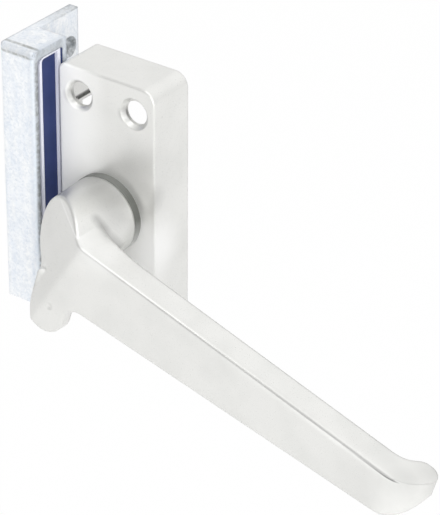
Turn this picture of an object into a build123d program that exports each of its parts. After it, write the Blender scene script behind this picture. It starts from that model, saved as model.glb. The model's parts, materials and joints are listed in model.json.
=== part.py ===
from build123d import *
from math import asin, cos, degrees, radians, sin, tan
import os

# Window cam lock: a surface housing with a swinging lever, and the keep that its cam closes on.
# Millimetres. X runs along the housing's face, +Y into the window, +Z up. The origin is the centre of
# the housing's back face, where it is screwed to the sash.

# Housing
housing_width = 31.4
housing_height = 75.0
housing_depth = 14.4
housing_corner = 4.0
housing_keep_corner = 2.1
housing_edge = 0.6
side_wall = 1.8
face_wall = 2.0
fixing_spacing_x = 18.0
fixing_spacing_z = 59.2
fixing_bore = 6.8
fixing_sink = 9.0
fixing_sink_angle = 90.0
relief_slot_height = 0.9
relief_slot_depth = 8.8
relief_slot_cut = 1.3
relief_slot_z = 25.45
relief_notch_height = 5.5
relief_notch_depth = 6.9
relief_notch_z = 23.8

# Pivot: its centre lies below the middle of the housing
pivot_drop = 1.9
boss_radius = 12.4
boss_height = 2.1
bush_radius = 7.6
bush_flange_radius = 11.0
bush_flange = 2.2
running_gap = 0.05
face_gap = 0.1

# Shaft of the lever, and the parts on it behind the boss
shaft_radius = 6.0
shaft_square = 8.0
spring_thickness = 0.5
spring_rise = 0.4
spring_radius = 8.2
stop_radius = 12.0
stop_thickness = 2.0
stop_track_radius = 8.4
stop_pin_radius = 1.25
stop_pin_seat = 3.0
washer_radius = 7.0
washer_thickness = 1.2
screw_radius = 2.5
screw_length = 9.0
screw_head_radius = 4.6
screw_head_height = 2.8
screw_recess_radius = 1.7
screw_recess_depth = 1.6

# Lever: it hangs at rest_angle below the horizontal, and turns between level and straight down
rest_angle = 16.3
closed_angle = 90.0
neck_radius = 10.9
neck_draft = 1.5
lever_reach = 26.0
blade_thickness = 7.9
blade_length = 119.0
blade_offset = 2.4
blade_root_width = 20.4
blade_tip_width = 12.3
blade_tip_corner = 10.4
blade_tip_edge = 1.2
web_run = 25.0
web_far = (17.0, 17.35)
web_near = (9.7, 15.6)
web_root = (4.5, 12.0)
tip_curl_run = 10.7
tip_curl_reach = 9.0
tip_lip_height = 3.9
tip_lip_run = 13.5
tip_lip_peak = 5.0
nose_left = 2.9
nose_width = 13.1
nose_reach = 24.6
nose_corner = 7.0
nose_inner_corner = 6.0
nose_root_fillet = 5.0
nose_heel_fillet = 4.0
nose_thickness = 3.6
nose_relief_top = 14.0
dimple_place = (5.1, -15.8)
dimple_ball = 2.0
dimple_depth = 0.35
cam_reach = 20.2
cam_width = 11.9
cam_root = 9.0
cam_corner = 2.5
cam_lead = 2.4
cam_lead_depth = 1.0
heel_angle = 35.0
heel_crease_top = (9.7, 7.2)
heel_crease_low = (3.1, -15.3)
lever_edge = 0.7
heel_edge = 5.0

# Keep
keep_gap = 0.65
keep_width = 11.7
keep_wall = 1.5
keep_end_wall = 2.3
keep_flange_wall = 2.8
keep_front = 9.2
keep_box_depth = 13.5
keep_rise = 5.4
keep_height = 76.3
keep_flange = 29.5
keep_bend = 1.5
keep_mouth_corner = 1.0
keep_hole = 4.0
keep_sink = 6.0
keep_hole_edge = 4.0
keep_hole_drop = 10.4
keep_notch = 0.7
keep_notch_length = 1.0

# Cam clearance over the keep, and the insert in the keep's mouth
cam_gap = 0.5
insert_gap = 0.1
insert_front_gap = 1.0
insert_end_gap = 0.1
insert_corner = 2.0
insert_recess = 0.9
insert_flank = 0.8
trim_front = 0.9
trim_rear = 1.2
trim_end = 0.5
trim_height = 1.7
trim_setback = 0.15

# Places worked out from the sizes above. "out" is the distance in front of the housing's face.
pivot_z = -pivot_drop
face_y = -housing_depth
neck_out = bush_flange + face_gap
lever_dir = Vector(cos(radians(rest_angle)), 0, -sin(radians(rest_angle)))
lever_up = Vector(sin(radians(rest_angle)), 0, cos(radians(rest_angle)))
inner_face_y = face_y + face_wall
boss_y = inner_face_y + boss_height
stop_y = boss_y + spring_thickness + spring_rise
washer_y = stop_y + stop_thickness
head_y = washer_y + washer_thickness
shaft_end_y = washer_y - face_gap
stop_pin_track = stop_track_radius + stop_pin_radius + face_gap
stop_slack = degrees(asin((stop_pin_radius + face_gap) / stop_pin_track))
opening_angle = rest_angle
closing_angle = closed_angle - rest_angle
keep_right = -housing_width / 2 - keep_gap
keep_left = keep_right - keep_width
keep_front_y = face_y - keep_front
keep_back_y = keep_front_y + keep_box_depth
keep_top = housing_height / 2 + keep_rise
keep_middle = keep_top - keep_height / 2


def lever_plane(out):
    """The plane across the pivot at a distance in front of the housing's face, x along the lever."""
    return Plane(origin=(0, face_y - out, pivot_z), x_dir=lever_dir, z_dir=(0, -1, 0))


def pivot_plane(y):
    """The upright plane across the pivot at a depth y, facing the room."""
    return Plane(origin=(0, y, pivot_z), x_dir=(1, 0, 0), z_dir=(0, -1, 0))


def blade_half_width(along):
    """Half of the blade's width at a distance along the lever from the pivot."""
    return (blade_root_width + (blade_tip_width - blade_root_width) * along / blade_length) / 2


def lever_point(along, across, out):
    """A point given along the lever, across it and in front of the housing's face."""
    return Vector(0, face_y - out, pivot_z) + lever_dir * along + lever_up * across


def mouth_shape(front, back, height, corner):
    """A rectangle across the keep's mouth with its two front corners rounded, x along Y."""
    with BuildSketch() as shape:
        with Locations(((front + back) / 2, keep_middle)):
            Rectangle(back - front, height)
        fillet(shape.vertices().group_by(Axis.X)[0], radius=corner)
    return shape.sketch_local


def finish(piece, name):
    """Name a piece and write its file."""
    piece.part.label = name
    export_step(piece.part, f"parts/{name}.step")


os.makedirs("parts", exist_ok=True)

# The housing: a shell open at the back, with four countersunk holes and a boss round the pivot
with BuildPart() as housing:
    with BuildSketch(Plane.XZ) as shell:
        Rectangle(housing_width, housing_height)
        fillet(shell.vertices().group_by(Axis.X)[-1], radius=housing_corner)
        fillet(shell.vertices().group_by(Axis.X)[0], radius=housing_keep_corner)
    extrude(amount=housing_depth)
    fillet(housing.faces().sort_by(Axis.Y)[0].edges(), radius=housing_edge)
    with BuildSketch(Plane.XZ):
        offset(shell.sketch_local, amount=-side_wall)
    extrude(amount=housing_depth - face_wall, mode=Mode.SUBTRACT)
    with BuildSketch(pivot_plane(boss_y)):
        Circle(boss_radius)
    extrude(amount=boss_height)
    with Locations(Plane.XZ.offset(housing_depth)):
        with GridLocations(fixing_spacing_x, fixing_spacing_z, 2, 2):
            CounterSinkHole(
                fixing_bore / 2, fixing_sink / 2, counter_sink_angle=fixing_sink_angle
            )
    with BuildSketch(pivot_plane(0)):
        Circle(bush_radius)
    extrude(amount=housing_depth, mode=Mode.SUBTRACT)
    with BuildSketch(pivot_plane(boss_y)):
        with Locations((0, stop_pin_track)):
            Circle(stop_pin_radius)
    extrude(amount=stop_pin_seat, mode=Mode.SUBTRACT)
    with BuildSketch(Plane.XZ):
        with Locations((side_wall - housing_width / 2, relief_slot_z)):
            Rectangle(2 * relief_slot_cut, relief_slot_height, align=(Align.CENTER, Align.MAX))
    extrude(amount=relief_slot_depth, mode=Mode.SUBTRACT)
    with BuildSketch(Plane.XZ):
        with Locations((-housing_width / 2, relief_notch_z)):
            Rectangle(3 * side_wall, relief_notch_height, align=(Align.CENTER, Align.MAX))
    extrude(amount=relief_notch_depth, mode=Mode.SUBTRACT)
finish(housing, "housing")

# The flanged bush that carries the shaft and spaces the lever off the housing
with BuildPart() as bush:
    with BuildSketch(pivot_plane(boss_y)):
        Circle(bush_radius)
    extrude(amount=boss_height + face_wall)
    with BuildSketch(pivot_plane(face_y)):
        Circle(bush_flange_radius)
    extrude(amount=bush_flange)
    chamfer(bush.faces().sort_by(Axis.Y)[0].edges(), length=0.25)
    with BuildSketch(pivot_plane(boss_y)):
        Circle(shaft_radius + running_gap)
    extrude(amount=boss_height + face_wall + bush_flange, mode=Mode.SUBTRACT)
finish(bush, "pivot_bush")

# The lever: a round neck that bends into a flat, tapering blade, with a nose that carries the cam
blade_back = lever_reach - blade_thickness
nose_right = nose_width - nose_left
draft_slope = tan(radians(neck_draft))
head_radius = neck_radius - (lever_reach - neck_out) * draft_slope
lip_out = blade_back - tip_lip_height
curl_out = lever_reach - tip_curl_reach
curl_start = blade_length - tip_curl_run
lip_start = blade_length - tip_lip_run
crease_top = lever_point(*heel_crease_top, lever_reach)
crease_low = lever_point(*heel_crease_low, lever_reach)
crease = (crease_low - crease_top).normalized()
heel_across = Vector(0, 1, 0).cross(crease).normalized()
heel_normal = heel_across * sin(radians(heel_angle)) + Vector(0, -cos(radians(heel_angle)), 0)
heel_plane = Plane(origin=crease_top, x_dir=crease, z_dir=heel_normal)
roll = heel_edge * tan(radians(heel_angle) / 2)
slope = Vector(cos(radians(heel_angle)), -sin(radians(heel_angle)))
slope_far = slope * 4 * neck_radius
side_plane = Plane(origin=(0, face_y, pivot_z), x_dir=lever_dir, z_dir=-lever_up)
with BuildPart() as lever:
    # The web under the blade's root, hollowed towards the neck, and the neck
    with BuildSketch(lever_plane(lever_reach)):
        with BuildLine():
            Polyline(
                (0, blade_half_width(0) - blade_offset),
                (web_run, blade_half_width(web_run) - blade_offset),
                (web_run, -blade_half_width(web_run) - blade_offset),
                (0, -blade_half_width(0) - blade_offset),
                close=True,
            )
        make_face()
    extrude(amount=web_root[1] - lever_reach, taper=-neck_draft)
    with BuildSketch(side_plane):
        with BuildLine():
            Spline((web_run, blade_back), web_far, web_near, web_root, tangents=((-1, 0), (-1, -1)))
            Polyline(
                web_root,
                (web_root[0], neck_out),
                (2 * web_run, neck_out),
                (2 * web_run, blade_back),
                (web_run, blade_back),
            )
        make_face()
    extrude(amount=2 * nose_reach, both=True, mode=Mode.SUBTRACT)
    with BuildSketch(lever_plane(lever_reach)):
        Circle(head_radius)
    extrude(amount=neck_out - lever_reach, taper=-neck_draft)
    # The front plate, with the block for the tip behind its end, and its front edge rounded
    with BuildSketch(lever_plane(lever_reach)) as outline:
        with BuildLine():
            Polyline(
                (0, blade_half_width(0) - blade_offset),
                (blade_length, blade_half_width(blade_length) - blade_offset),
                (blade_length, -blade_half_width(blade_length) - blade_offset),
                (0, -blade_half_width(0) - blade_offset),
                close=True,
            )
        make_face()
        Circle(head_radius)
        with Locations((-nose_left, -nose_reach)):
            Rectangle(nose_width, nose_reach, align=(Align.MIN, Align.MIN))
        for corner, radius in (
            ((blade_length, -blade_tip_width), blade_tip_corner),
            ((blade_length, blade_tip_width), blade_tip_edge),
            ((-nose_left, -nose_reach), nose_corner),
            ((nose_right, -nose_reach), nose_inner_corner),
            ((nose_right, -blade_half_width(nose_right) - blade_offset), nose_root_fillet),
            ((-nose_left, -head_radius), nose_heel_fillet),
        ):
            fillet(outline.vertices().sort_by_distance(corner)[0], radius)
    extrude(amount=-blade_thickness, taper=-neck_draft)
    with BuildSketch(lever_plane(lever_reach)):
        add(outline.sketch_local)
        with Locations((lip_start, 0)):
            Rectangle(
                tip_lip_run,
                2 * blade_root_width,
                align=(Align.MIN, Align.CENTER),
                mode=Mode.INTERSECT,
            )
    extrude(amount=lip_out - lever_reach, taper=-neck_draft)
    fillet(lever.faces().sort_by(Axis.Y)[0].edges(), radius=lever_edge)
    # The heel facet, with its rim rounded and its crease rolled
    split(bisect_by=heel_plane, keep=Keep.BOTTOM)
    heel = lever.faces().filter_by(GeomType.PLANE).sort_by(Axis(crease_top, heel_normal))[-1]
    fillet(heel.edges().filter_by(GeomType.ELLIPSE).sort_by(SortBy.LENGTH)[-1], radius=lever_edge)
    with BuildSketch(Plane(origin=crease_top, x_dir=heel_across, z_dir=-crease)):
        with BuildLine():
            RadiusArc((-roll, 0), slope * roll, heel_edge)
            Polyline(
                slope * roll,
                slope_far,
                (slope_far.X, -slope_far.Y),
                (-roll, -slope_far.Y),
                (-roll, 0),
            )
        make_face()
    extrude(amount=slope_far.length, both=True, mode=Mode.SUBTRACT)
    # The curled tip
    with BuildSketch(side_plane):
        with BuildLine():
            TangentArc((curl_start, lever_reach), (blade_length, curl_out), tangent=(1, 0))
            Spline(
                (blade_length, curl_out),
                (blade_length - tip_lip_peak, lip_out),
                (lip_start, blade_back),
                tangents=((-0.25, -1), (-1, 0)),
            )
            Polyline(
                (lip_start, blade_back),
                (lip_start - lever_edge, blade_back),
                (lip_start - lever_edge, neck_out),
                (blade_length + tip_curl_run, neck_out),
                (blade_length + tip_curl_run, lever_reach + lever_edge),
                (curl_start, lever_reach + lever_edge),
                (curl_start, lever_reach),
            )
        make_face()
    extrude(amount=2 * nose_reach, both=True, mode=Mode.SUBTRACT)
    # The nose is thinner than the blade
    with BuildSketch(lever_plane(lever_reach - nose_thickness)):
        with Locations((0, -nose_relief_top)):
            Rectangle(4 * neck_radius, nose_reach, align=(Align.CENTER, Align.MAX))
    extrude(amount=nose_thickness - lever_reach, mode=Mode.SUBTRACT)
    with Locations(lever_point(*dimple_place, lever_reach + dimple_ball - dimple_depth)):
        Sphere(dimple_ball, mode=Mode.SUBTRACT)
    # The cam behind the nose, with a lead-in on the side that meets the keep first
    with BuildSketch(lever_plane(keep_front + cam_gap)):
        with Locations((-nose_left, -cam_reach)):
            RectangleRounded(
                cam_width, cam_reach - cam_root, cam_corner, align=(Align.MIN, Align.MIN)
            )
    extrude(amount=lever_reach - nose_thickness - keep_front - cam_gap)
    with BuildSketch(
        Plane(origin=lever_point(0, -cam_reach, 0), x_dir=lever_dir, z_dir=-lever_up)
    ):
        with BuildLine():
            Polyline(
                (-nose_left, keep_front + cam_gap),
                (cam_lead - nose_left, keep_front + cam_gap),
                (-nose_left, keep_front + cam_gap + cam_lead_depth),
                close=True,
            )
        make_face()
    extrude(amount=neck_radius - cam_reach, mode=Mode.SUBTRACT)
    # The shaft with its square end, tapped for the retaining screw
    with BuildSketch(lever_plane(neck_out)):
        Circle(shaft_radius)
    extrude(amount=face_y - neck_out - boss_y)
    with BuildSketch(pivot_plane(shaft_end_y)):
        Rectangle(shaft_square, shaft_square, rotation=-rest_angle)
    extrude(amount=shaft_end_y - boss_y)
    with BuildSketch(pivot_plane(shaft_end_y)):
        Circle(screw_radius)
    extrude(amount=screw_length, mode=Mode.SUBTRACT)
finish(lever, "lever")

# The conical spring washer that gives the lever its drag
with BuildPart() as spring_washer:
    with BuildSketch(Plane(origin=(0, boss_y, pivot_z), x_dir=(1, 0, 0), z_dir=(0, 0, 1))):
        with BuildLine():
            Polyline(
                (shaft_radius + face_gap, 0),
                (spring_radius, spring_rise),
                (spring_radius, spring_rise + spring_thickness),
                (shaft_radius + face_gap, spring_thickness),
                close=True,
            )
        make_face()
    revolve(axis=Axis((0, 0, pivot_z), (0, 1, 0)))
finish(spring_washer, "spring_washer")

# The stop plate turns with the square of the shaft, and its notch runs to either side of the stop pin
notch_start = 90 - opening_angle - stop_slack
notch_span = opening_angle + closing_angle + 2 * stop_slack
with BuildPart() as stop_plate:
    with BuildSketch(pivot_plane(washer_y)):
        Circle(stop_radius)
        with BuildLine():
            inner = CenterArc((0, 0), stop_track_radius, notch_start, notch_span)
            outer = CenterArc((0, 0), 1.2 * stop_radius, notch_start, notch_span)
            Line(inner @ 0, outer @ 0)
            Line(inner @ 1, outer @ 1)
        make_face(mode=Mode.SUBTRACT)
        Rectangle(
            shaft_square + running_gap,
            shaft_square + running_gap,
            rotation=-rest_angle,
            mode=Mode.SUBTRACT,
        )
    extrude(amount=stop_thickness)
finish(stop_plate, "stop_plate")

# The stop pin, pressed into the boss
with BuildPart() as stop_pin:
    with BuildSketch(pivot_plane(washer_y)):
        with Locations((0, stop_pin_track)):
            Circle(stop_pin_radius)
    extrude(amount=washer_y - boss_y + stop_pin_seat)
    chamfer(stop_pin.faces().sort_by(Axis.Y)[-1].edges(), length=0.3)
finish(stop_pin, "stop_pin")

# The washer and the screw that hold the stop plate on the shaft
with BuildPart() as retaining_washer:
    with BuildSketch(pivot_plane(head_y)):
        Circle(washer_radius)
        Circle(screw_radius + face_gap, mode=Mode.SUBTRACT)
    extrude(amount=washer_thickness)
finish(retaining_washer, "retaining_washer")

with BuildPart() as retaining_screw:
    with BuildSketch(pivot_plane(head_y)):
        Circle(screw_radius - running_gap)
    extrude(amount=screw_length)
    with BuildSketch(pivot_plane(head_y + screw_head_height)):
        Circle(screw_head_radius)
    extrude(amount=screw_head_height)
    fillet(retaining_screw.faces().sort_by(Axis.Y)[-1].edges(), radius=screw_head_height / 2)
    with BuildSketch(pivot_plane(head_y + screw_head_height)):
        RegularPolygon(screw_recess_radius, 6)
    extrude(amount=screw_recess_depth, mode=Mode.SUBTRACT)
finish(retaining_screw, "retaining_screw")

# The keep: a box open towards the housing, whose outer wall runs on as the screwed flange
keep_base = keep_left + keep_flange_wall
corner_cut = keep_bend * (1 - cos(radians(45)))
with BuildPart() as keep:
    with BuildSketch(Plane.XY.offset(keep_top - keep_height)):
        with Locations((keep_left, keep_front_y)):
            Rectangle(keep_width, keep_box_depth, align=(Align.MIN, Align.MIN))
            Rectangle(keep_flange_wall, keep_flange, align=(Align.MIN, Align.MIN))
    extrude(amount=keep_height)
    fillet(keep.faces().sort_by(Axis.Y)[0].edges(), radius=keep_bend)
    with BuildSketch(Plane.YZ.offset(keep_right)):
        with Locations(((keep_front_y + keep_back_y) / 2, keep_middle)):
            RectangleRounded(
                keep_box_depth - 2 * keep_wall, keep_height - 2 * keep_end_wall, keep_mouth_corner
            )
    extrude(amount=keep_base - keep_right, mode=Mode.SUBTRACT)
    with BuildSketch(Plane.YZ.offset(keep_right)):
        with Locations(
            (keep_front_y + corner_cut, keep_top - corner_cut),
            (keep_front_y + corner_cut, keep_top - keep_height + corner_cut),
        ):
            Circle(keep_notch)
    extrude(amount=-keep_notch_length, mode=Mode.SUBTRACT)
    with Locations(Plane.YZ.offset(keep_base)):
        with Locations(
            (keep_front_y + keep_flange - keep_hole_edge, keep_top - keep_hole_drop),
            (keep_front_y + keep_flange - keep_hole_edge, keep_top - keep_height + keep_hole_drop),
        ):
            CounterSinkHole(
                keep_hole / 2,
                keep_sink / 2,
                depth=keep_flange_wall,
                counter_sink_angle=fixing_sink_angle,
            )
finish(keep, "keep")

# The insert that fills the keep's mouth, with its edge trim standing in a groove round the face
trim_right = keep_right - trim_setback
insert_front_y = keep_front_y + keep_wall + insert_front_gap
insert_back_y = keep_back_y - keep_wall - insert_gap
trim_back_y = insert_back_y - insert_flank
insert_height = keep_height - 2 * keep_end_wall - 2 * insert_end_gap
face_outline = mouth_shape(insert_front_y, trim_back_y, insert_height, insert_corner)
face_inside = mouth_shape(
    insert_front_y + trim_front,
    trim_back_y - trim_rear,
    insert_height - 2 * trim_end,
    insert_corner - trim_front,
)
body_outline = mouth_shape(insert_front_y, insert_back_y, insert_height, insert_corner)
with BuildPart() as keep_trim:
    with BuildSketch(Plane.YZ.offset(trim_right)):
        add(face_outline)
        add(face_inside, mode=Mode.SUBTRACT)
    extrude(amount=-trim_height)
finish(keep_trim, "keep_trim")

with BuildPart() as insert:
    with BuildSketch(Plane.YZ.offset(keep_base)):
        add(body_outline)
    extrude(amount=trim_right - keep_base)
    with BuildSketch(Plane.YZ.offset(trim_right)):
        add(face_outline)
    extrude(amount=-insert_recess, mode=Mode.SUBTRACT)
    add(keep_trim.part, mode=Mode.SUBTRACT)
finish(insert, "keep_insert")
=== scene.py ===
import json
from math import cos, radians, sin

import bpy
from mathutils import Matrix, Vector


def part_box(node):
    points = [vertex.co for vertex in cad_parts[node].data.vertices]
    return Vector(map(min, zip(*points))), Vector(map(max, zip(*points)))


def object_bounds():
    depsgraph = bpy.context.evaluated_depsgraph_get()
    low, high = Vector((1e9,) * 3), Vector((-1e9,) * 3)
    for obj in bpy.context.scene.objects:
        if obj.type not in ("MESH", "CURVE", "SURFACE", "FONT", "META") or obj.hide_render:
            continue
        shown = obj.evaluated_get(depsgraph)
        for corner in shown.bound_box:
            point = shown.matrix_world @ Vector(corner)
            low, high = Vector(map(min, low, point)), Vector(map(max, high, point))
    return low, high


# Window cam lock. Metres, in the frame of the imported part: X along the housing's face, +Y into the
# window, +Z up, with the origin at the centre of the housing's back face.

# View
camera_azimuth = 35.79
camera_elevation = 30.08
camera_roll = -0.49
camera_lens = 203.7
camera_sensor = 36.0
camera_aim = Vector((0.027704, -0.001842, -0.012285))
camera_distance = 0.770897
camera_nearest = 0.01
camera_farthest = 100.0

# Stage
floor_drop = 0.30
floor_size = 12.0
floor_noise = {"per_metre": 60, "detail": 3}
floor_colours = ((0.93, 0.93, 0.93), (0.96, 0.96, 0.96))
floor_roughness = 0.9
background_white = 1.0
background_share = 0.97

# Light: the surround's levels low and high up, and where it goes from one to the other
surround_levels = (0.78, 1.06)
surround_heights = (-0.1, 0.6)
lamp_aim = (0.03, -0.02, 0)
key_place = (0.25, -0.55, 1.10)
key_size = 1.0
key_level = 4.8
front_place = (0.62, -0.95, 0.15)
front_size = 0.9
front_level = 5.0

# Dark gaps between the studio's white panels: direction, level, and how near they begin and are full
gaps = (
    ((0.15, -0.78, 0.60), 0.25, 0.82, 0.95),
    ((-0.60, -0.79, 0.10), 0.40, 0.93, 0.99),
    ((-0.50, 0.20, 0.84), 0.50, 0.95, 0.99),
    ((-0.96, -0.20, 0.20), 0.45, 0.50, 0.95),
)

# Colours, linear
silver = (0.775, 0.774, 0.753)
silver_shade = (0.735, 0.736, 0.715)
silver_glint = (0.88, 0.88, 0.87)
# The next two colours are mixed in as painted light and painted shade on the castings
silver_painted_light = (0.95, 0.95, 0.94)
silver_painted_shade = (0.08, 0.08, 0.08)
zinc = (0.790, 0.835, 0.895)
zinc_pale = (0.930, 0.945, 0.955)
# The next colour mottles the zinc at random and is also the painted shade beside the keep's mouth
zinc_mottle_and_shade = (0.560, 0.620, 0.700)
zinc_fleck = (0.940, 0.950, 0.960)
# The next colour darkens the keep's cut faces and is the painted shade in its holes
zinc_cut_and_shade = (0.330, 0.350, 0.360)
# The next colour is the painted dark reflection along the keep's top edge
zinc_line = (0.360, 0.370, 0.360)
navy = (0.019, 0.034, 0.125)
navy_light = (0.027, 0.044, 0.155)
trim_pale = (0.780, 0.790, 0.900)
trim_bright = (0.860, 0.870, 0.950)
ring_grey = (0.122, 0.127, 0.115)
# The next colour is painted light on the ring
ring_painted_light = (0.560, 0.565, 0.550)
plating = (0.62, 0.61, 0.58)
spring_grey = (0.30, 0.30, 0.32)

# Size of the rounding that catches the light on edges
cast_edge = 0.00045
lever_edge = 0.0009
soft_edge = 0.0040
pressed_edge = 0.0009
small_edge = 0.00015
edge_samples = 6

# Values that rise or fall all the way, the limits that most of a noise lies within, and the share of a
# band's half width over which it is full
rising = (0.0, 1.0)
falling = (1.0, 0.0)
noise_limits = (0.3, 0.7)
band_core = 0.25

# Satin castings. A noise has its features per metre, and a relief has its depth and its strength.
casting_grain = {"per_metre": 5200, "detail": 3}
casting_grain_relief = (0.000012, 0.20)
casting_peel = {"per_metre": 650}
casting_peel_relief = (0.00004, 0.15)
casting_cloud = {"per_metre": 95, "detail": 4}
casting_cloud_limits = (0.35, 0.60)
casting_speck = (0.0, 0.10)
casting_speck_limits = (0.52, 0.75)
casting_roughness = (0.27, 0.37)
matt_roughness = 0.5
casting_metallic = (0.62, 0.06)
casting_pale_limits = (0.0, 0.5)

# The shade in each of the housing's holes: the holes' places, the shade's offset, radius and share
hole_x = 0.009
hole_z = 0.0296
hole_shade_offset = (-0.0030, -0.0136, -0.0010)
hole_shade_radius = 0.0030
hole_shade = 0.62

# Soft places of painted shade and painted light on the housing: centre, radius, share
housing_painted_shade = [
    ((0.010, -0.0144, 0.011), 0.018, 0.14),
    ((0.0135, -0.0144, 0.0070), 0.0080, 0.32),
]
housing_painted_light = [((0.0125, -0.0144, -0.0095), 0.014, 0.9)]

# The housing's slot, seen through a hole and painted in deep shade, and the painted light on its face
# beside the keep, which reaches only a little way behind the face
slot_z = 0.02545
slot_half = 0.0008
slot_share = 0.95
slot_side = (-0.0133, -0.0130)
slot_front = (-0.0125, -0.0120)
beside_share = 0.9
face_depths = (0.0002, 0.0008)

# The lever's edge, from the pivot: its height, its fall per length and where it ends. The thin painted
# dark reflection along it has its distance below the edge and half its width, and its reach along the
# lever and behind the front, with its share.
blade_top = 0.0078
blade_taper = 0.0340
blade_end = (0.1115, 0.1135)
edge_line = (0.00035, 0.0004)
edge_line_run = (0.015, 0.085)
edge_line_share = (0.10, 0.50)
edge_line_depths = (0.0004, 0.0008)
end_line = (0.0006, 0.0004)
end_line_run = (0.094, 0.110)
end_line_share = (0.0, 0.80)

# The lever's matt edge and tip, the painted shade on its rim and towards its tip, and the painted
# highlight on the stretch of edge at the root. Heights are below the edge, depths behind the front,
# and runs along the lever from the pivot.
matt_heights = (0.0012, 0.0020)
matt_depths = (0.0009, 0.0016)
matt_run = (0.045, 0.095)
matt_tip_run = (0.104, 0.112)
matt_tip_share = (0.0, 0.75)
rim_heights = (0.0003, 0.0006)
rim_depths = (0.0008, 0.0020)
rim_share = (0.07, 0.0)
rim_run = (0.030, 0.070)
tip_run = (0.090, 0.112)
tip_share = (0.0, 0.07)
root_edge = (0.0, 0.0004)
root_edge_run = (0.010, 0.024)
root_edge_share = (0.40, 0.0)
root_edge_depths = (0.0094, 0.0114)

# The painted shade on the lever's heel facet and in its hollows, its soft places of painted shade and
# painted light, where its edges are rounded softly, and the crescent of painted shade where the neck
# meets the blade
heel_normal = (-0.483, -0.819, 0.310)
heel_level = 0.02832
heel_reach = 0.0004
heel_share = 0.05
hollow_reach = 0.010
hollow_samples = 8
hollow_limits = (0.3, 1.0)
hollow_share = (0.22, 0.0)
lever_painted_shade = [
    ((0.0060, -0.0205, 0.0085), 0.0130, 0.40),
    ((-0.002, -0.0180, 0.0090), 0.0110, 0.34),
    ((0.1145, -0.0290, -0.0310), 0.0125, 0.22),
    ((0.1105, -0.0375, -0.0300), 0.0095, 0.16),
    ((0.0085, -0.0168, 0.0050), 0.0042, 0.30),
]
lever_painted_light = [
    ((0.0155, -0.0364, 0.0012), 0.0100, 0.35),
    ((-0.0044, -0.0363, -0.0105), 0.0022, 0.5),
]
lever_blend = [((0.0100, -0.0310, 0.0045), 0.0085, 1.0)]
crescent = (
    (0.0082, -0.0290, 0.0052),
    (0.0094, -0.0283, 0.0027),
    (0.0103, -0.0274, -0.0005),
    (0.0101, -0.0252, -0.0030),
    (0.0096, -0.0227, -0.0060),
)
crescent_radius = 0.0026
crescent_share = 0.42

# Galvanised steel
spangle_per_metre = 1500
spangle_limits = (0.2, 0.9)
spangle_share = (0.0, 0.30)
fleck_noise = {"per_metre": 1700, "detail": 4}
fleck_relief = (0.00004, 0.45)
fleck_limits = (0.52, 0.68)
fleck_share = (0.0, 0.55)
film_noise = {"per_metre": 420, "detail": 6, "stretch": (1, 1, 0.4)}
film_limits = (0.30, 0.66)
pit_noise = {"per_metre": 900, "detail": 5}
pit_limits = (0.30, 0.44)
pit_share = (0.35, 0.0)
zinc_roughness = (0.30, 0.42)
zinc_metallic = 0.55

# The keep's painted dark reflection along its edge, which comes down over its front, and how the pits
# break it up. Runs are from the keep's right side, depths behind its front, and heights below its top.
painted_reflection_line = (0.00165, 0.00055)
painted_reflection_line_slope = 0.62
painted_reflection_line_end = (-0.00035, 0.00045)
painted_reflection_line_run = (0.00445, 0.00945)
painted_reflection_line_share = (1.0, 0.70)
painted_reflection_line_pits = (0.35, 0.55)
painted_reflection_line_break = (0.5, 1.0)

# The keep's mouth with painted shade beside it, its darker cut faces at the mouth and the top of its
# flange, and its holes with painted shade in them
shade_run = (0.00045, 0.00265)
shade_share = (0.5, 0.0)
mouth_run = (0.00015, 0.00055)
mouth_depths = (0.0114, 0.0122)
mouth_heights = (0.0024, 0.0034)
mouth_share = (0.45, 1.0)
flange_heights = (0.0002, 0.0006)
flange_depths = (0.0138, 0.0276)
flange_share = (0.0, 0.6)
keep_hole_edge = 0.0040
keep_hole_drop = 0.0104
keep_hole_limits = (0.0030, 0.0032)
keep_hole_share = (0.9, 0.0)
cut_pits = (0.40, 0.58)
cut_break = (0.45, 1.0)

# Plastics and bright metal
navy_grain = {"per_metre": 3000, "detail": 3}
navy_cloud = {"per_metre": 160}
navy_relief = (0.00001, 0.3)
navy_roughness = (0.40, 0.50)
navy_gloss = 0.3
trim_lines = {"per_metre": 2400, "stretch": (1, 1, 0.02)}
trim_relief = (0.000008, 0.3)
trim_roughness = (0.22, 0.36)
trim_metallic = 0.15
ring_grain = {"per_metre": 4200, "detail": 3}
ring_relief = (0.000015, 0.4)
ring_spread = 1.25
ring_roughness = (0.42, 0.56)
ring_low_heights = (-0.0085, -0.0002)
ring_high_heights = (0.0055, 0.0090)
ring_high_share = (0.0, 0.16)
plated_lines = {"per_metre": 3200, "stretch": (1, 0.08, 1)}
plated_film = {"per_metre": 260, "detail": 4}
plated_relief = (0.00001, 0.35)
plated_shade = 0.8
plated_roughness = (0.24, 0.42)
plated_metallic = 1.0

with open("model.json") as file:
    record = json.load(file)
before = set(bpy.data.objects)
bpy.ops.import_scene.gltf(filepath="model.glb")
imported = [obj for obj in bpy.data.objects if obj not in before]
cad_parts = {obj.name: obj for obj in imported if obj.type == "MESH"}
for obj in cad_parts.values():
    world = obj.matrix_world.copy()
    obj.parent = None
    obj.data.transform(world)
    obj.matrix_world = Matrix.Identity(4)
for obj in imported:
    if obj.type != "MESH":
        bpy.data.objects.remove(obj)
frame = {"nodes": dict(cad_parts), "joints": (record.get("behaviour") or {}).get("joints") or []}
cad_box = [list(corner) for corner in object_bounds()]

# Places from the frame
housing_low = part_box("housing")[0]
keep_low, keep_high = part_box("keep")
lever_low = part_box("lever")[0]
hinge = frame["joints"][0]
pivot_z = hinge["pos_m"][2]
blade_fall = radians(-hinge["range_deg"][0])
keep_hole_y = keep_high.y - keep_hole_edge
keep_hole_z = (keep_high.z - keep_hole_drop, keep_low.z + keep_hole_drop)


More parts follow.
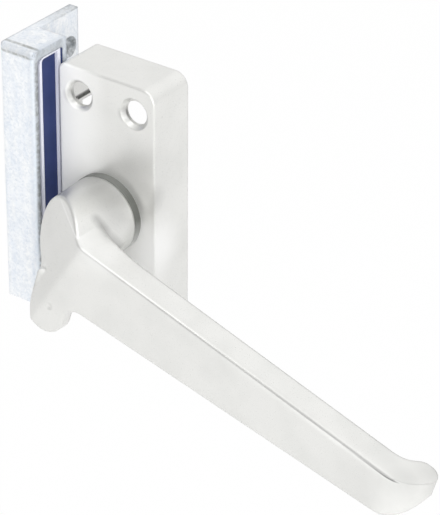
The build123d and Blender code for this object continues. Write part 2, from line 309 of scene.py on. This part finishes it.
def view_axes(azimuth, elevation, roll):
    """The camera's right, up and back directions."""
    a = radians(azimuth)
    e = radians(elevation)
    r = radians(roll)
    right = Vector((cos(a), sin(a), 0))
    down = Vector((sin(a) * sin(e), -cos(a) * sin(e), -cos(e)))
    back = Vector((sin(a) * cos(e), -cos(a) * cos(e), sin(e)))
    turned_right = right * cos(r) + down * sin(r)
    turned_down = down * cos(r) - right * sin(r)
    return turned_right, -turned_down, back


def placed(right, up, back, place):
    """The world matrix of an object that looks along -back from a place."""
    axes = Matrix((right, up, back)).transposed()
    return Matrix.Translation(place) @ axes.to_4x4()


def make_camera():
    """The camera at the photograph's viewing angle."""
    data = bpy.data.cameras.new("view")
    data.lens = camera_lens
    data.sensor_width = camera_sensor
    data.clip_start = camera_nearest
    data.clip_end = camera_farthest
    camera = bpy.data.objects.new("view", data)
    bpy.context.scene.collection.objects.link(camera)
    right, up, back = view_axes(camera_azimuth, camera_elevation, camera_roll)
    camera.matrix_world = placed(right, up, back, camera_aim + back * camera_distance)
    bpy.context.scene.camera = camera


def area_lamp(name, place, size, level):
    """A square soft lamp that shines from a place on the object."""
    data = bpy.data.lights.new(name, "AREA")
    data.shape = "SQUARE"
    data.size = size
    data.energy = level
    lamp = bpy.data.objects.new(name, data)
    bpy.context.scene.collection.objects.link(lamp)
    back = (Vector(place) - Vector(lamp_aim)).normalized()
    right = Vector((0, 0, 1)).cross(back).normalized()
    lamp.matrix_world = placed(right, back.cross(right), back, Vector(place))


class Shading:
    """One material or world, with short ways to add and join its nodes."""

    def __init__(self, name, world=None):
        self.material = world or bpy.data.materials.new(name)
        self.material.use_nodes = True
        self.tree = self.material.node_tree
        self.shader = self.tree.nodes.get("Principled BSDF")
        self.output = self.tree.nodes.get("Material Output")
        place = self.add("ShaderNodeTexCoord")
        self.place = place.outputs["Object"]
        self.direction = place.outputs["Generated"]

    def add(self, kind, **settings):
        """A new node with its settings."""
        node = self.tree.nodes.new(kind)
        for key, value in settings.items():
            setattr(node, key, value)
        return node

    def join(self, source, socket):
        """Feed a socket from an output, or give it a number or colour."""
        if isinstance(source, bpy.types.NodeSocket):
            self.tree.links.new(source, socket)
        elif isinstance(source, tuple) and len(source) == 3 and socket.type == "RGBA":
            socket.default_value = (*source, 1)
        else:
            socket.default_value = source

    def noise(self, per_metre, detail=2.0, stretch=(1, 1, 1)):
        """Noise whose features are about 1 / per_metre long, drawn out by stretch."""
        mapping = self.add("ShaderNodeMapping")
        mapping.inputs["Scale"].default_value = stretch
        self.join(self.place, mapping.inputs["Vector"])
        node = self.add("ShaderNodeTexNoise")
        node.inputs["Scale"].default_value = per_metre
        node.inputs["Detail"].default_value = detail
        self.join(mapping.outputs["Vector"], node.inputs["Vector"])
        return node.outputs["Fac"]

    def ramp(self, source, limits, first, last):
        """A colour that goes from the first to the last as the source goes from limit to limit."""
        node = self.add("ShaderNodeValToRGB")
        for element, position, colour in zip(node.color_ramp.elements, limits, (first, last)):
            element.position = position
            element.color = (*colour, 1)
        self.join(source, node.inputs["Fac"])
        return node.outputs["Color"]

    def span(self, source, limits, values=rising, kind="LINEAR"):
        """A number that goes from value to value as the source goes from limit to limit."""
        node = self.add("ShaderNodeMapRange", interpolation_type=kind)
        node.inputs["From Min"].default_value = limits[0]
        node.inputs["From Max"].default_value = limits[1]
        node.inputs["To Min"].default_value = values[0]
        node.inputs["To Max"].default_value = values[1]
        self.join(source, node.inputs["Value"])
        return node.outputs["Result"]

    def calculate(self, operation, first, second=0.0):
        """The result of a calculation with one or two numbers."""
        node = self.add("ShaderNodeMath", operation=operation)
        self.join(first, node.inputs[0])
        self.join(second, node.inputs[1])
        return node.outputs["Value"]

    def plus(self, first, second):
        """The sum of two numbers."""
        return self.calculate("ADD", first, second)

    def minus(self, first, second):
        """The first number less the second."""
        return self.calculate("SUBTRACT", first, second)

    def times(self, first, *others):
        """The product of all the numbers."""
        product = first
        for other in others:
            product = self.calculate("MULTIPLY", product, other)
        return product

    def most(self, first, *others):
        """The largest of all the numbers."""
        largest = first
        for other in others:
            largest = self.calculate("MAXIMUM", largest, other)
        return largest

    def vector(self, operation, first, second):
        """The node of a calculation with two vectors."""
        node = self.add("ShaderNodeVectorMath", operation=operation)
        self.join(first, node.inputs[0])
        self.join(second, node.inputs[1])
        return node

    def places(self):
        """The three coordinates, one by one."""
        split = self.add("ShaderNodeSeparateXYZ")
        self.join(self.place, split.inputs["Vector"])
        return split.outputs["X"], split.outputs["Y"], split.outputs["Z"]

    def band(self, source, middle, half):
        """One where the source is at the middle, and nothing where it is half away or more."""
        away = self.calculate("ABSOLUTE", self.minus(source, middle))
        return self.span(away, (band_core * half, half), falling)

    def spots(self, places):
        """The share at each centre, falling softly to nothing at its radius."""
        shares = []
        for centre, radius, share in places:
            away = self.vector("DISTANCE", self.place, centre).outputs["Value"]
            shares.append(self.span(away, (0.0, radius), (share, 0.0), "SMOOTHSTEP"))
        return self.most(*shares)

    def line(self, corners, radius, share):
        """The share along a line through the corners, falling evenly to nothing at the radius."""
        shares = []
        for first, last in zip(corners, corners[1:]):
            run = Vector(last) - Vector(first)
            gap = self.vector("SUBTRACT", self.place, first).outputs["Vector"]
            along = self.vector("DOT_PRODUCT", gap, run / run.length_squared).outputs["Value"]
            part = self.add("ShaderNodeVectorMath", operation="SCALE")
            part.inputs[0].default_value = run
            self.join(self.span(along, (0.0, 1.0)), part.inputs["Scale"])
            away = self.vector("DISTANCE", gap, part.outputs["Vector"]).outputs["Value"]
            shares.append(self.span(away, (0.0, radius), (share, 0.0)))
        return self.most(*shares)

    def on_plane(self, facing, level, reach):
        """One on a plane, and nothing at the reach from it."""
        along = self.vector("DOT_PRODUCT", self.place, facing).outputs["Value"]
        return self.band(along, level, reach)

    def mix(self, share, first, second):
        """A blend of two colours or directions."""
        node = self.add("ShaderNodeMixRGB")
        self.join(share, node.inputs["Fac"])
        self.join(first, node.inputs["Color1"])
        self.join(second, node.inputs["Color2"])
        return node.outputs["Color"]

    def rounded(self, radius):
        """The surface's direction with its sharp edges rounded."""
        node = self.add("ShaderNodeBevel", samples=edge_samples)
        node.inputs["Radius"].default_value = radius
        return node.outputs["Normal"]

    def hollow(self):
        """One in the open, and less the deeper a place lies in the piece's own hollows."""
        node = self.add("ShaderNodeAmbientOcclusion", samples=hollow_samples, only_local=True)
        node.inputs["Distance"].default_value = hollow_reach
        return node.outputs["AO"]

    def bump(self, height, relief, normal):
        """The surface's direction disturbed by a height, with a depth and a strength."""
        depth, strength = relief
        node = self.add("ShaderNodeBump")
        node.inputs["Strength"].default_value = strength
        node.inputs["Distance"].default_value = depth
        self.join(height, node.inputs["Height"])
        self.join(normal, node.inputs["Normal"])
        return node.outputs["Normal"]

    def surface(self, **values):
        """Set the shader's sockets, named in lower case with underscores."""
        for key, value in values.items():
            name = key.replace("_", " ").title().replace("Ior", "IOR")
            self.join(value, self.shader.inputs[name])
        return self.material


def tinted(share, colour):
    """A colour made lighter or darker by a share."""
    return tuple(share * channel for channel in colour)


def satin_casting(name, marks, edge):
    """Satin silver coating on a die casting: fine grain over a soft unevenness.

    marks gives the painted shade, painted light, matt and blended shares of one casting.
    """
    m = Shading(name)
    grain = m.noise(**casting_grain)
    peel = m.noise(**casting_peel)
    cloud = m.noise(**casting_cloud)
    dark, pale, matt, soft = marks(m)
    colour = m.ramp(cloud, casting_cloud_limits, silver_shade, silver)
    colour = m.mix(m.span(grain, casting_speck_limits, casting_speck), colour, silver_glint)
    # Painted light and painted shade mixed into the casting's colour
    colour = m.mix(pale, colour, silver_painted_light)
    colour = m.mix(dark, colour, silver_painted_shade)
    metal = m.times(m.span(pale, casting_pale_limits, casting_metallic), m.minus(1.0, matt))
    normal = m.mix(soft, m.rounded(edge), m.rounded(soft_edge))
    normal = m.bump(peel, casting_peel_relief, normal)
    normal = m.bump(grain, casting_grain_relief, normal)
    rough = m.plus(m.span(grain, noise_limits, casting_roughness), m.times(matt, matt_roughness))
    return m.surface(base_color=colour, metallic=metal, roughness=rough, normal=normal)


def housing_marks(m):
    """Painted shade beside the hub, in the countersinks and the slot, and painted light beside the
    keep.
    """
    x, y, z = m.places()
    # Painted shade beside the hub and in the countersinks
    shades = list(housing_painted_shade)
    for side in (-1, 1):
        for height in (-1, 1):
            centre = Vector((side * hole_x, 0, height * hole_z)) + Vector(hole_shade_offset)
            shades.append((centre, hole_shade_radius, hole_shade))
    # Painted deep shade in the slot
    slot = m.times(
        m.band(z, slot_z, slot_half),
        m.span(x, slot_side, (slot_share, 0.0)),
        m.span(y, slot_front),
    )
    # Painted light on the face beside the keep, against the keep's shadow
    depth = m.minus(y, housing_low.y)
    beside = m.times(
        m.span(x, (housing_low.x, 0.0), (beside_share, 0.0)),
        m.span(depth, face_depths, falling),
    )
    # All the painted shade, and all the painted light
    dark = m.most(slot, m.spots(shades))
    pale = m.most(beside, m.spots(housing_painted_light))
    return dark, pale, 0.0, 0.0


def lever_marks(m):
    """Painted shade on the neck and in the hollows, painted light at the root, and a matt edge with a
    painted dark line.
    """
    x, y, z = m.places()
    depth = m.minus(y, lever_low.y)
    high = m.minus(z, pivot_z)
    along = m.minus(m.times(x, cos(blade_fall)), m.times(high, sin(blade_fall)))
    across = m.plus(m.times(x, sin(blade_fall)), m.times(high, cos(blade_fall)))
    below = m.minus(m.minus(blade_top, m.times(along, blade_taper)), across)
    # Painted dark reflection along the blade's edge, stronger towards its end
    line = m.times(
        m.band(below, *edge_line),
        m.span(along, edge_line_run, edge_line_share),
        m.span(depth, edge_line_depths, falling),
    )
    end = m.times(m.band(below, *end_line), m.span(along, end_line_run, end_line_share))
    line = m.times(m.most(line, end), m.span(along, blade_end, falling))
    # Painted shade on the rim above the front edge, which dims its highlight
    rim = m.times(
        m.span(depth, rim_depths, rim_share),
        m.span(below, rim_heights, falling),
        m.span(along, rim_run),
    )
    # Painted shade on the heel facet, towards the tip, along the crescent and in the hollows
    heel = m.times(m.on_plane(heel_normal, heel_level, heel_reach), heel_share)
    tip = m.span(along, tip_run, tip_share)
    bend = m.line(crescent, crescent_radius, crescent_share)
    hollow = m.span(m.hollow(), hollow_limits, hollow_share)
    # All the painted shade, the soft places included
    dark = m.most(line, rim, heel, tip, bend, hollow, m.spots(lever_painted_shade))
    # Painted highlight along the edge at the root
    root = m.times(
        m.band(below, *root_edge),
        m.span(along, root_edge_run, root_edge_share),
        m.span(depth, root_edge_depths, falling),
    )
    # Painted light at the root and at soft places
    pale = m.most(root, m.spots(lever_painted_light))
    matt = m.times(
        m.span(below, matt_heights, falling),
        m.span(depth, matt_depths, falling),
        m.span(along, matt_run),
    )
    matt = m.most(matt, m.span(along, matt_tip_run, matt_tip_share))
    return dark, pale, matt, m.spots(lever_blend)


def galvanised(name):
    """Zinc-plated steel: a pale, slightly blue film with a fine spangle, painted shade and a painted
    dark reflection, and darker cuts.
    """
    m = Shading(name)
    cells = m.add("ShaderNodeTexVoronoi")
    cells.inputs["Scale"].default_value = spangle_per_metre
    m.join(m.place, cells.inputs["Vector"])
    spangle = m.add("ShaderNodeSeparateColor")
    m.join(cells.outputs["Color"], spangle.inputs["Color"])
    fine = m.noise(**fleck_noise)
    film = m.noise(**film_noise)
    pits = m.noise(**pit_noise)
    colour = m.ramp(film, film_limits, zinc, zinc_pale)
    colour = m.mix(m.span(spangle.outputs["Red"], spangle_limits, spangle_share), colour, zinc_mottle_and_shade)
    colour = m.mix(m.span(pits, pit_limits, pit_share), colour, zinc_mottle_and_shade)
    colour = m.mix(m.span(fine, fleck_limits, fleck_share), colour, zinc_fleck)
    line, shade, cut = keep_marks(m, pits)
    # Painted dark reflection, painted shade beside the mouth, then the darker cuts with painted shade
    # in the holes
    colour = m.mix(line, colour, zinc_line)
    colour = m.mix(shade, colour, zinc_mottle_and_shade)
    colour = m.mix(cut, colour, zinc_cut_and_shade)
    normal = m.bump(fine, fleck_relief, m.rounded(pressed_edge))
    rough = m.span(spangle.outputs["Blue"], rising, zinc_roughness)
    return m.surface(base_color=colour, metallic=zinc_metallic, roughness=rough, normal=normal)


def keep_marks(m, pits):
    """The painted dark reflection round the keep's top, the painted shade beside its mouth, and its
    darker cut faces with painted shade in its holes.
    """
    x, y, z = m.places()
    left = m.minus(keep_high.x, x)
    depth = m.minus(y, keep_low.y)
    below = m.minus(keep_high.z, z)
    around = m.plus(below, m.times(depth, painted_reflection_line_slope))
    # Painted dark reflection along the top edge, broken up by the pits
    line = m.times(
        m.band(around, *painted_reflection_line),
        m.span(left, painted_reflection_line_end),
        m.span(left, painted_reflection_line_run, painted_reflection_line_share),
        m.span(pits, painted_reflection_line_pits, painted_reflection_line_break),
    )
    # Painted shade beside the mouth
    shade = m.span(left, shade_run, shade_share)
    mouth = m.times(
        m.span(left, mouth_run, falling),
        m.span(depth, mouth_depths, falling),
        m.span(below, mouth_heights, mouth_share),
    )
    strip = m.times(
        m.span(below, flange_heights, falling),
        m.span(depth, flange_depths, flange_share),
    )
    cut = m.most(mouth, strip)
    # Painted shade in the holes
    for height in keep_hole_z:
        aside = m.calculate("POWER", m.minus(y, keep_hole_y), 2.0)
        above = m.calculate("POWER", m.minus(z, height), 2.0)
        away = m.calculate("SQRT", m.plus(aside, above))
        cut = m.most(cut, m.span(away, keep_hole_limits, keep_hole_share))
    return line, shade, m.times(cut, m.span(pits, cut_pits, cut_break))


def navy_block(name):
    """Half-gloss navy plastic with a faint moulded grain."""
    m = Shading(name)
    grain = m.noise(**navy_grain)
    colour = m.ramp(m.noise(**navy_cloud), noise_limits, navy, navy_light)
    normal = m.bump(grain, navy_relief, m.rounded(small_edge))
    rough = m.span(grain, noise_limits, navy_roughness)
    return m.surface(base_color=colour, roughness=rough, normal=normal, specular_ior_level=navy_gloss)


def bright_trim(name):
    """Bright drawn metal edge."""
    m = Shading(name)
    lines = m.noise(**trim_lines)
    colour = m.ramp(lines, noise_limits, trim_pale, trim_bright)
    normal = m.bump(lines, trim_relief, m.rounded(small_edge))
    rough = m.span(lines, noise_limits, trim_roughness)
    return m.surface(base_color=colour, metallic=trim_metallic, roughness=rough, normal=normal)


def ring_plastic(name):
    """Dark grey moulded plastic, with painted light making it paler towards its bottom and, a little,
    at its top.
    """
    m = Shading(name)
    grain = m.noise(**ring_grain)
    x, y, z = m.places()
    colour = m.ramp(grain, noise_limits, ring_grey, tinted(ring_spread, ring_grey))
    # Painted light towards the bottom and, a little, at the top
    colour = m.mix(m.span(z, ring_low_heights, falling), colour, ring_painted_light)
    colour = m.mix(m.span(z, ring_high_heights, ring_high_share), colour, ring_painted_light)
    normal = m.bump(grain, ring_relief, m.rounded(small_edge))
    rough = m.span(grain, noise_limits, ring_roughness)
    return m.surface(base_color=colour, roughness=rough, normal=normal)


def plated_steel(name, tint):
    """Turned or pressed steel with fine tool lines and a dull film."""
    m = Shading(name)
    lines = m.noise(**plated_lines)
    film = m.noise(**plated_film)
    colour = m.ramp(film, noise_limits, tinted(plated_shade, tint), tint)
    normal = m.bump(lines, plated_relief, m.rounded(small_edge))
    rough = m.span(film, noise_limits, plated_roughness)
    return m.surface(base_color=colour, metallic=plated_metallic, roughness=rough, normal=normal)


def dress(node, material):
    """Give a node of the frame its material."""
    mesh = frame["nodes"][node].data
    mesh.materials.clear()
    mesh.materials.append(material)


def make_floor():
    """A pale floor, white to the camera and in reflections, that keeps the shadow."""
    mesh = bpy.data.meshes.new("floor")
    half = floor_size / 2
    low = cad_box[0][2] - floor_drop
    corners = [(-half, -half, low), (half, -half, low), (half, half, low), (-half, half, low)]
    mesh.from_pydata(corners, [], [(0, 1, 2, 3)])
    floor = bpy.data.objects.new("floor", mesh)
    bpy.context.scene.collection.objects.link(floor)
    m = Shading("floor")
    path = m.add("ShaderNodeLightPath")
    seen = m.most(path.outputs["Is Camera Ray"], path.outputs["Is Glossy Ray"])
    glow = m.add("ShaderNodeEmission")
    glow.inputs["Strength"].default_value = background_white
    paper = m.ramp(m.noise(**floor_noise), noise_limits, *floor_colours)
    m.surface(base_color=paper, roughness=floor_roughness)
    blend = m.add("ShaderNodeMixShader")
    m.join(m.times(seen, background_share), blend.inputs["Fac"])
    m.join(m.shader.outputs["BSDF"], blend.inputs[1])
    m.join(glow.outputs["Emission"], blend.inputs[2])
    m.join(blend.outputs["Shader"], m.output.inputs["Surface"])
    mesh.materials.append(m.material)


def make_world():
    """A white surround, brighter above, with dark gaps that give the metal something to reflect."""
    world = bpy.data.worlds.new("surround")
    world.use_nodes = True
    bpy.context.scene.world = world
    m = Shading("surround", world)
    split = m.add("ShaderNodeSeparateXYZ")
    m.join(m.direction, split.inputs["Vector"])
    light = m.span(split.outputs["Z"], surround_heights, surround_levels)
    for towards, level, begin, full in gaps:
        facing = m.vector("DOT_PRODUCT", m.direction, towards).outputs["Value"]
        light = m.times(light, m.span(facing, (begin, full), (1.0, level)))
    path = m.add("ShaderNodeLightPath")
    plain = m.times(path.outputs["Is Camera Ray"], background_white)
    rest = m.times(m.minus(1.0, path.outputs["Is Camera Ray"]), light)
    background = m.tree.nodes["Background"]
    m.join(m.plus(plain, rest), background.inputs["Strength"])
    m.join((1, 1, 1), background.inputs["Color"])


make_camera()
make_world()
make_floor()
area_lamp("key", key_place, key_size, key_level)
area_lamp("front", front_place, front_size, front_level)

plated = plated_steel("plated_steel", plating)
dress("housing", satin_casting("satin_housing", housing_marks, cast_edge))
dress("lever", satin_casting("satin_lever", lever_marks, lever_edge))
for node in ("stop_plate", "stop_pin", "retaining_washer", "retaining_screw"):
    dress(node, plated)
dress("spring_washer", plated_steel("spring_steel", spring_grey))
dress("pivot_bush", ring_plastic("dark_plastic"))
dress("keep", galvanised("galvanised_steel"))
dress("keep_insert", navy_block("navy_plastic"))
dress("keep_trim", bright_trim("bright_trim"))

bpy.context.scene.view_settings.view_transform = "Standard"
